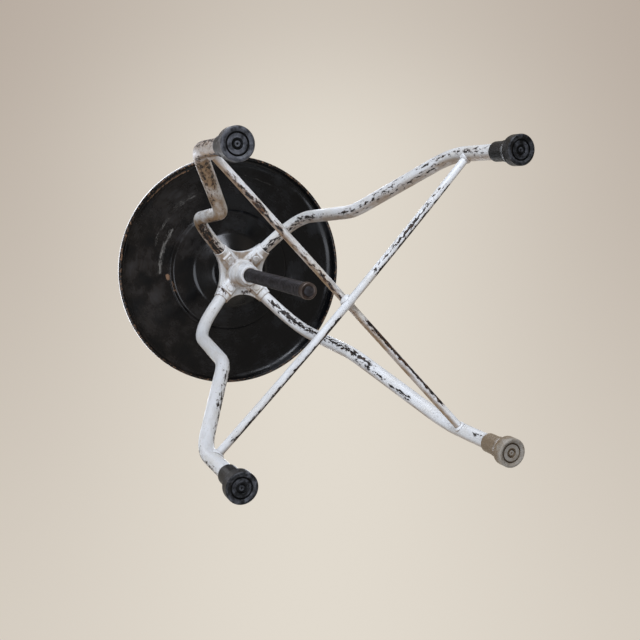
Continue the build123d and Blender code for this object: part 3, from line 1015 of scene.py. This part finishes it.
@dataclass
class HubCasting:
    """The cast hub, its rivets and the welds of the braces, all under the same paint."""

    cast: Softening = Softening(0.80, 2, 0.22, 0.60, bore=10.1)
    rivet: Softening = Softening(0.35, 2, 0.20, 0.45)
    weld: Softening = Softening(0.45, 3, 0.16, 0.15, lumps=0.5)
    chips: tuple[WornArc, ...] = (
        WornArc(30.0, 155.0, 175.0, 4.0, 0.6), WornArc(40.0, -130.0, -120.0, 4.0, 0.5),
    )

    def build(self, finish: Material) -> None:
        """Makes and dresses the hub, the rivets and the welds.

        Args:
            finish: The paint.
        """
        pieces = (("hub", self.cast, self.chips), ("hub_rivets", self.rivet, ()),
                  ("brace_welds", self.weld, ()), ("crossing_weld", self.weld, ()))
        for node, softening, marks in pieces:
            dressed(softening.mesh(node, marks), node, Body.FRAME, finish)


@dataclass
class ScrewSpindle:
    """The screw with its rolled thread, and the collar and washer that stop it."""

    radius: float = 10.0
    lead: float = 5.0
    depth: float = 0.6
    groove_half: float = 0.62
    flank: float = 0.24
    bottom: float = 216.3
    tail: float = 6.5
    tail_chamfer: float = 0.6
    collar_bottom: float = 217.1
    collar_top: float = 224.1
    collar: float = 10.8
    chamfer: float = 0.8
    washer_top: float = 225.7
    washer: float = 11.2
    shoulder: float = SHOULDER_HEIGHT
    spigot: float = SPIGOT_RADIUS
    boss_top: float = SHOULDER_HEIGHT + BOSS_LENGTH
    head: Span = (10.5, 3.0)
    head_chamfer: float = 1.8
    loose_fit: float = 0.05
    around: int = 64
    steps: int = 20
    edge_steps: int = 4
    merge_decimals: int = 5

    def groove(self, share: float, height: float) -> float:
        """How deep the thread is cut, from 0 to 1, running out at both ends.

        Args:
            share: The share of the lead, in turns.
            height: The height, in millimetres.

        Returns:
            The share of the thread's depth.
        """
        way = abs((share % 1.0) - 0.5) * 2
        end = min(height - self.collar_top, self.shoulder - height) / self.lead
        return float(np.clip((self.groove_half - way) / self.flank, 0.0, 1.0) * np.clip(end, 0.0, 1.0))

    def rows(self) -> tuple[list[Span], int, int]:
        """The screw's rings, from its lower end to the top of its riveted head.

        Returns:
            Radius and height of each ring, and the first and the last ring of the thread.
        """
        head, top = self.head[0], self.boss_top + self.head[1]
        rows = [(0.0, self.bottom), (self.tail - self.tail_chamfer, self.bottom),
                (self.tail, self.bottom + self.tail_chamfer), (self.tail, self.collar_top)]
        first = len(rows)
        count = math.ceil((self.shoulder - self.collar_top) / self.lead * self.steps) + 2
        for step in range(-self.steps, count):
            rows.append((self.radius, self.collar_top + step * self.lead / self.steps))
        last = len(rows) - 1
        rows += [(self.spigot, self.shoulder), (self.spigot, self.boss_top), (head, self.boss_top),
                 (head, top - self.head_chamfer), (head - self.head_chamfer, top), (0.0, top)]
        return rows, first, last

    def shape(self) -> tuple[Shape, np.ndarray]:
        """The screw with its thread.

        Returns:
            The screw, and how deep in its groove each point lies.
        """
        rows, first, last = self.rows()
        points, valley, faces, rings = [], [], [], []
        for index, (radius, height) in enumerate(rows):
            count = 1 if radius < ON_AXIS else self.around
            rings.append([len(points) + step for step in range(count)])
            for step in range(count):
                turn, z, cut = step / self.around, height, 0.0
                if first <= index <= last:
                    z = float(np.clip(height + turn * self.lead, self.collar_top, self.shoulder))
                    cut = self.groove((index - first) / self.steps, z)
                reach, angle = radius - cut * self.depth, 2 * math.pi * turn
                points.append((reach * math.cos(angle), reach * math.sin(angle), z))
                valley.append(cut)
        # Rows pressed flat at the thread's ends share their points.
        same: dict[tuple[float, ...], int] = {}
        use, kept = [], []
        for index, point in enumerate(points):
            spot = tuple(round(part, self.merge_decimals) for part in point)
            if spot not in same:
                same[spot] = len(kept)
                kept.append(index)
            use.append(same[spot])
        for at, (low, high) in enumerate(zip(rings, rings[1:])):
            for step in range(self.around):
                corners = band(low, high, step, self.around)
                if first <= at < last and step == self.around - 1:
                    # The thread climbs one lead in a turn, so the seam joins a later row.
                    corners[1] = rings[min(at + self.steps, last)][0]
                    corners[2] = rings[min(at + 1 + self.steps, last)][0]
                face = tuple(dict.fromkeys(use[corner] for corner in corners))
                if len(face) > 2:
                    faces.append(face)
        spots = np.array(points)[kept]
        return Shape(spots, faces, spots[:, [2, 0, 1]].copy()), np.array(valley)[kept]

    def build(self, oiled: Material, worn_steel: Material) -> None:
        """Makes and dresses the screw, the collar and the washer.

        Args:
            oiled: The oily steel of the screw.
            worn_steel: The worn steel of the stop.
        """
        shape, valley = self.shape()
        dressed(shape.mesh("spindle", valley), "spindle", Body.SEAT, oiled)
        low, high, wide, cut = self.collar_bottom, self.collar_top, self.collar, self.chamfer
        hole = self.tail + PRESS_FIT
        collar = rounded([(hole, low, 0), (wide - cut, low, 0.3), (wide, low + cut, 0.3),
                          (wide, high - cut, 0.3), (wide - cut, high, 0.3), (hole, high, 0)], self.edge_steps)
        mesh = lathe(collar, self.around, True).mesh("stop_collar")
        dressed(mesh, "stop_collar", Body.SEAT, worn_steel)
        hole = self.radius + self.loose_fit
        washer = rounded([(hole, high, 0), (self.washer, high, 0.3), (self.washer, self.washer_top, 0.4),
                          (hole, self.washer_top, 0)], self.edge_steps)
        mesh = lathe(washer, self.around, True).mesh("stop_washer")
        dressed(mesh, "stop_washer", Body.STOP, worn_steel)


@dataclass
class SeatPressing:
    """The seat: the pressed pan, the plate under it with its step and dome, and the boss in the dome."""

    rim: float = 178.0
    sheet: float = 1.6
    edge: float = 16.0
    edge_points: int = 13
    hem: float = 2.2
    hem_points: int = 20
    hem_gap: float = 0.6
    hem_reach: float = 2.0
    hem_soil: float = 0.52
    pan_top: float = 557.9
    lip: float = 535.9
    flat_rings: Span = (60.0, 120.0)
    flat_gap: float = 2.0
    mark_rings: Span = (88.0, 2.5)
    plate: float = 98.0
    plate_sheet: float = 2.0
    flange: float = 3.0
    plate_depth: float = 6.0
    dome_foot: float = 59.0
    dome_face: float = 33.0
    dome_depth: float = 20.0
    # Outer radii of the plate's bends. The inner ones are smaller by the sheet.
    foot_bend: float = 11.0
    face_bend: float = 9.0
    step_bend: float = 3.4
    step_slope: float = math.radians(45)
    boss: float = 15.0
    boss_taper: float = 4.0
    boss_flange: float = 26.0
    flange_height: float = 5.0
    boss_bottom: float = SHOULDER_HEIGHT
    boss_length: float = BOSS_LENGTH
    spigot: float = SPIGOT_RADIUS + PRESS_FIT
    around: int = 320
    boss_around: int = 96
    scuffs: tuple[WornArc, ...] = (
        WornArc(112.0, -90.0, -55.0, 6.0, 0.7), WornArc(126.0, -70.0, -50.0, 5.0, 0.55),
        WornArc(130.0, -45.0, -25.0, 7.0, 0.55), WornArc(105.0, 95.0, 110.0, 6.0, 0.5),
        WornArc(150.0, 10.0, 40.0, 4.0, 0.5),
    )
    rust: tuple[WornArc, ...] = (
        WornArc(100.0, -96.0, -93.0, 4.0, 0.9), WornArc(94.0, -110.0, -100.0, 4.0, 0.6),
        WornArc(168.0, -50.0, -22.0, 2.0, 0.75),
    )

    def pan_outline(self) -> np.ndarray:
        """The pan's outline from the middle of its top, round the hem, to the middle of its underside.

        Returns:
            Radius and height of each point.
        """
        edge = (self.rim - self.edge, self.pan_top - self.edge)
        hem = (self.rim - self.hem, self.lip + self.hem)
        flat, under = edge[0] - self.flat_gap, self.pan_top - self.sheet
        last = math.degrees(math.acos((self.hem - self.sheet) / self.hem)) - 360
        line = [(radius, self.pan_top) for radius in (0.0, *self.flat_rings, flat)]
        line += arc_points(edge, self.edge, 90, 0, self.edge_points)
        line += arc_points(hem, self.hem, 0, last, self.hem_points)
        line.append((self.rim - self.sheet, edge[1] - self.hem_gap))
        line += arc_points(edge, self.edge - self.sheet, 0, 90, self.edge_points)
        # The marked part of the underside has close rings, to carry the marks.
        inner, gap = self.mark_rings
        line += [(radius, under) for radius in np.arange(flat, inner, -gap)]
        line += [(self.flat_rings[0], under), (0.0, under)]
        return np.array(line)

    def plate_outline(self) -> np.ndarray:
        """The plate's outline, with the soft bends of a pressing.

        Returns:
            Radius and height of each point.
        """
        thick, bend = self.plate_sheet, self.step_bend
        under = self.pan_top - self.sheet
        flat = under - self.plate_depth
        face = flat - self.dome_depth
        step_out = self.plate - self.flange
        step_in = step_out - (self.plate_depth - thick)
        shift = thick * math.tan(math.atan2(self.dome_depth, self.dome_foot - self.dome_face) / 2)
        small = thick * math.tan(self.step_slope / 2)
        hole = self.boss + PRESS_FIT
        return rounded([
            (hole, face, 0), (self.dome_face + shift, face, self.face_bend),
            (self.dome_foot + shift, flat, self.foot_bend), (step_in + small, flat, bend),
            (step_out + small, under - thick, bend - thick), (self.plate, under - thick, 0.5),
            (self.plate, under, 0.2), (step_out, under, bend), (step_in, flat + thick, bend - thick),
            (self.dome_foot, flat + thick, self.foot_bend - thick),
            (self.dome_face, face + thick, self.face_bend - thick), (hole, face + thick, 0),
        ], 8)

    def boss_outline(self) -> np.ndarray:
        """The boss's outline, bored for the screw's spigot.

        Returns:
            Radius and height of each point.
        """
        bottom, top = self.boss_bottom, self.boss_bottom + self.boss_length
        foot = bottom + self.boss_taper
        face = foot + self.flange_height
        return rounded([
            (self.spigot, bottom, 0), (self.boss, bottom, 0.6), (self.boss + self.boss_taper, foot, 0.8),
            (self.boss_flange, foot, 0.8), (self.boss_flange, face, 0.3), (self.boss, face, 0.2),
            (self.boss, top, 0.5), (self.spigot, top, 0),
        ], 5)

    def build(self, finish: Material) -> None:
        """Makes and dresses the pan, the plate and the boss.

        Args:
            finish: The enamel.
        """
        pan = lathe(self.pan_outline(), self.around)
        x, y, z = pan.points.T
        out = np.maximum(np.hypot(x, y) - self.rim + self.edge, 0.0)
        below = np.hypot(out, z - self.pan_top + self.edge) < self.edge - self.sheet / 2
        hem = np.clip(self.lip + self.hem_reach - z, 0.0, 1.0) * self.hem_soil
        soil = rubbed(pan.points, self.rust) * below + hem
        mesh = pan.mesh("seat_pan", rubbed(pan.points, self.scuffs) * below, soil)
        dressed(mesh, "seat_pan", Body.SEAT, finish)
        plate = lathe(self.plate_outline(), self.around, True)
        mesh = plate.mesh("seat_plate", 0.0, rubbed(plate.points, self.rust))
        dressed(mesh, "seat_plate", Body.SEAT, finish)
        mesh = lathe(self.boss_outline(), self.boss_around, True).mesh("seat_boss")
        dressed(mesh, "seat_boss", Body.SEAT, finish)


@dataclass
class RubberFerrules:
    """The four ferrules, with the rings moulded in their dished soles, and the steel discs inside them."""

    foot: float = FOOT_RADIUS
    base: float = 17.0
    base_height: float = 13.0
    base_edge: float = 1.2
    flare_top: float = 25.0
    flare_round: float = 30.0
    step: float = 29.0
    height: float = 48.0
    low: float = 12.12
    top: float = 11.32
    hole: float = TUBE_RADIUS + PRESS_FIT
    sole: float = 10.0
    dish: float = 1.6
    groove: float = 4.0
    inner_groove: Span = (2.9, 5.7)
    outer_groove: Span = (9.9, 11.8)
    tread: float = 14.2
    dimple: Span = (1.2, 2.4)
    worn_height: float = 2.3
    worn_fade: float = 0.5
    around: int = 96

    def outline(self) -> np.ndarray:
        """The ferrule's outline from the middle of its sole, over the sleeve, to its socket's floor.

        Returns:
            Radius and height of each point.
        """
        across, rise = self.base - self.low, self.flare_top - self.base_height
        sweep = (across ** 2 + rise ** 2) / (2 * across)
        flare = []
        for z in self.base_height + rise * np.linspace(0.12, 0.88, 7):
            reach = self.low + sweep - math.sqrt(sweep ** 2 - (self.flare_top - z) ** 2)
            flare.append((reach, z, self.flare_round))
        pit, floor = self.dimple
        dish, deep, edge = self.dish, self.groove, self.base_edge
        (inner, inner_end), (outer, outer_end) = self.inner_groove, self.outer_groove
        return rounded([
            (0, floor, 0), (pit, floor, 0.3), (pit, dish, 0.3), (inner, dish, 0.5),
            (inner, deep, 0.4), (inner_end, deep, 0.4), (inner_end, dish, 0.5), (outer, dish, 0.4),
            (outer, deep, 0.3), (outer_end, deep, 0.3), (outer_end, dish, 0.3), (self.tread, 0, 0.8),
            (self.base - edge, 0, 0.8), (self.base, edge, 0.9), (self.base, self.base_height, 1.0), *flare,
            (self.low, self.flare_top, self.flare_round), (self.low, self.step, 0.6),
            (self.top, self.step, 0.3), (self.top, self.height, 0.7), (self.hole, self.height, 0.5),
            (self.hole, self.sole, 0.2), (0, self.sole, 0),
        ], 4)

    def build(self, azimuths: dict[str, float], black: Material, taupe: Material, steel: Material) -> None:
        """Makes and dresses the ferrules, and dresses the discs.

        Args:
            azimuths: Each leg's direction, in degrees.
            black: The black rubber.
            taupe: The taupe rubber of the replaced ferrule.
            steel: The steel of the discs.
        """
        for name, azimuth in azimuths.items():
            node = f"foot_{name}"
            shape = lathe(self.outline(), self.around)
            worn = np.clip((self.worn_height - shape.points[:, 2]) / self.worn_fade, 0.0, 1.0)
            shape.points += heading(azimuth)[0] * self.foot
            finish, slot = (taupe, Slot.TAUPE) if name == "back_left" else (black, Slot.RUBBER)
            dressed(shape.mesh(node, SOLE_WEAR[name] * worn), node, Body.FRAME, finish)
        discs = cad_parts["foot_discs"]
        discs.data.materials.clear()
        discs.data.materials.append(steel)
        LOG.info("%s: kept, with its finish", discs.name)


@dataclass(frozen=True)
class Lamp:
    """A soft round lamp: its place and width in metres, and its power in watts."""

    name: str
    place: Triple
    size: float
    power: float

    def hang(self, aim: Triple, colour: str) -> None:
        """Hangs the lamp.

        Args:
            aim: Where it points, in metres.
            colour: Its colour.
        """
        data = bpy.data.lights.new(self.name, "AREA")
        data.shape = "DISK"
        data.size = self.size
        data.energy = self.power
        data.color = linear(colour)[:3]
        lamp = placed(self.name, data)
        lamp.location = self.place
        lamp.rotation_euler = (Vector(aim) - Vector(self.place)).to_track_quat("-Z", "Y").to_euler()


@dataclass
class Studio:
    """The plain stage: a pale floor, soft lamps, a warm backdrop and the camera."""

    backdrop: str = "#E3DCD0"
    edge: str = "#B4A89D"
    floor: str = "#D8D0C4"
    key: str = "#EDF3FF"
    room: str = "#78736D"
    ambient: str = "#E4DFD8"
    ambient_strength: float = 0.32
    # Shares of the view between which the backdrop darkens, and the light at their ends.
    side_at: Span = (0.0, 0.40)
    fall_at: Span = (-0.40, 0.42)
    fall_ends: Span = (0.95, 0.28)
    top_at: Span = (-0.36, -0.16)
    top_ends: Span = (0.45, 0.95)
    room_at: Span = (-0.35, 0.35)
    # The camera's place and focal length, in millimetres and pixels.
    eye: Triple = (121.4, -413.8, -817.4)
    aim: Triple = (-54.2, 61.6, 330.0)
    focal: float = 900.0
    picture: float = 640.0
    sensor: float = 36.0
    nearest: float = 0.01
    floor_reach: float = 3.0
    floor_rough: float = 0.8
    floor_speckle: Triple = (4.0, 4.0, 4.0)
    lamp_aim: Triple = (0.0, 0.0, 0.33)
    lamps: tuple[Lamp, ...] = (
        Lamp("key", (3.2, -0.65, -1.2), 2.0, 104.0),
        Lamp("fill", (-0.5, -0.9, -0.9), 1.4, 14.0),
        Lamp("overhead", (0.0, 0.3, 2.1), 1.6, 30.0),
    )

    def axes(self) -> tuple[Vector, Vector, Vector]:
        """The view's directions, with the stool's X axis up the picture.

        Returns:
            Right, down and ahead.
        """
        ahead = (Vector(self.aim) - Vector(self.eye)).normalized()
        right = ahead.cross(Vector((1.0, 0.0, 0.0))).normalized()
        return right, ahead.cross(right), ahead

    def camera(self) -> None:
        """Sets the camera at the photograph's viewing angle."""
        data = bpy.data.cameras.new("camera")
        data.sensor_width = self.sensor
        data.lens = self.focal / self.picture * data.sensor_width
        data.clip_start = self.nearest
        camera = placed("camera", data)
        right, down, ahead = self.axes()
        columns = Matrix((right, -down, -ahead)).transposed()
        camera.matrix_world = Matrix.Translation(Vector(self.eye) * MM) @ columns.to_4x4()
        bpy.context.scene.camera = camera

    def ground(self) -> None:
        """Lays the pale floor, which is seen from above and lets the lamps below it through."""
        mesh = bpy.data.meshes.new("floor")
        reach = self.floor_reach
        mesh.from_pydata([(-reach, -reach, 0), (reach, -reach, 0), (reach, reach, 0), (-reach, reach, 0)],
                         [], [(0, 1, 2, 3)])
        ground = placed("floor", mesh)
        # Rolled floor paint looks matt and even, with a faint speckle.
        material, p = new_material("painted_floor")
        speckle = p.add("MapRange", p.cloud(p.place(), self.floor_speckle), 0.3, 0.7, **SOFT)[0]
        colour = p.coats(self.floor, (p.add("Math", speckle, 0.06, **TIMES)[0], self.edge))
        solid = p.add("BsdfPrincipled", named={"Base Color": colour, "Roughness": self.floor_rough})[0]
        clear = p.add("BsdfTransparent")[0]
        p.add("OutputMaterial", p.add("MixShader", p.add("NewGeometry")["Backfacing"], solid, clear)[0])
        mesh.materials.append(material)
        ground.visible_shadow = False
        ground.visible_glossy = False

    def surround(self) -> None:
        """Makes the backdrop, brightest in mid view, the dim room behind the camera and the light."""
        world = bpy.data.worlds.new("backdrop")
        bpy.context.scene.world = world
        world.use_nodes = True
        world.node_tree.nodes.clear()
        p = Pattern(world.node_tree)
        toward = p.add("TexCoord")["Generated"]
        across, height, depth = (p.add("VectorMath", toward, tuple(axis), operation="DOT_PRODUCT")["Value"]
                                 for axis in self.axes())
        side = p.add("MapRange", p.add("Math", across, operation="ABSOLUTE")[0], *self.side_at, **SOFT)[0]
        fall = p.add("MapRange", height, *self.fall_at, *self.fall_ends, **SOFT)[0]
        fall = p.add("Math", side, fall, **TIMES)[0]
        light = p.add("MapRange", height, *self.top_at, *self.top_ends, **SOFT)[0]
        light = p.add("Math", p.add("Math", 1.0, fall, **LESS)[0], light, **TIMES)[0]
        view = p.coats(self.edge, (light, self.backdrop))
        colour = p.coats(self.room, (p.add("MapRange", depth, *self.room_at, **SOFT)[0], view))
        path = p.add("LightPath")
        seen = path["Is Camera Ray"]
        for ray in ("Is Glossy Ray", "Is Transmission Ray"):
            seen = p.add("Math", seen, path[ray], **GREATER)[0]
        shown = p.add("Background", colour, 1.0)[0]
        ambient = p.add("Background", linear(self.ambient), self.ambient_strength)[0]
        p.add("OutputWorld", p.add("MixShader", seen, ambient, shown)[0])

    def build(self) -> None:
        """Sets the whole stage."""
        bpy.context.scene.view_settings.view_transform = "Standard"
        self.camera()
        self.ground()
        self.surround()
        for lamp in self.lamps:
            lamp.hang(self.lamp_aim, self.key)


def main() -> None:
    """Builds the stool, piece by piece, and the stage round it."""
    logging.basicConfig(level=logging.INFO, format="%(name)s: %(message)s")
    azimuths = {"front_right": -LEG_AZIMUTH, "back_right": LEG_AZIMUTH, "back_left": 180 - LEG_AZIMUTH,
                "front_left": 180 + LEG_AZIMUTH}
    paint = ChippedPaint().material()
    enamel = StoveEnamel().material()
    oiled = TurnedSteel("oiled_screw_steel", "#57555A", "#242325", "#302C2C").material()
    worn_steel = TurnedSteel("worn_turned_steel", "#6F655F", "#3E3430", "#4A3A31").material()
    rubber = MouldedRubber("moulded_black_rubber", "#141516", "#75767B", "#3A332C").material()
    taupe = MouldedRubber("moulded_taupe_rubber", "#7E6F5C", "#A09B92", "#5A4C3C").material()
    LegTubes().build(azimuths, paint)
    BraceRods().build(azimuths, paint)
    HubCasting().build(paint)
    ScrewSpindle().build(oiled, worn_steel)
    SeatPressing().build(enamel)
    RubberFerrules().build(azimuths, rubber, taupe, worn_steel)
    Studio().build()


if __name__ == "__main__":
    main()
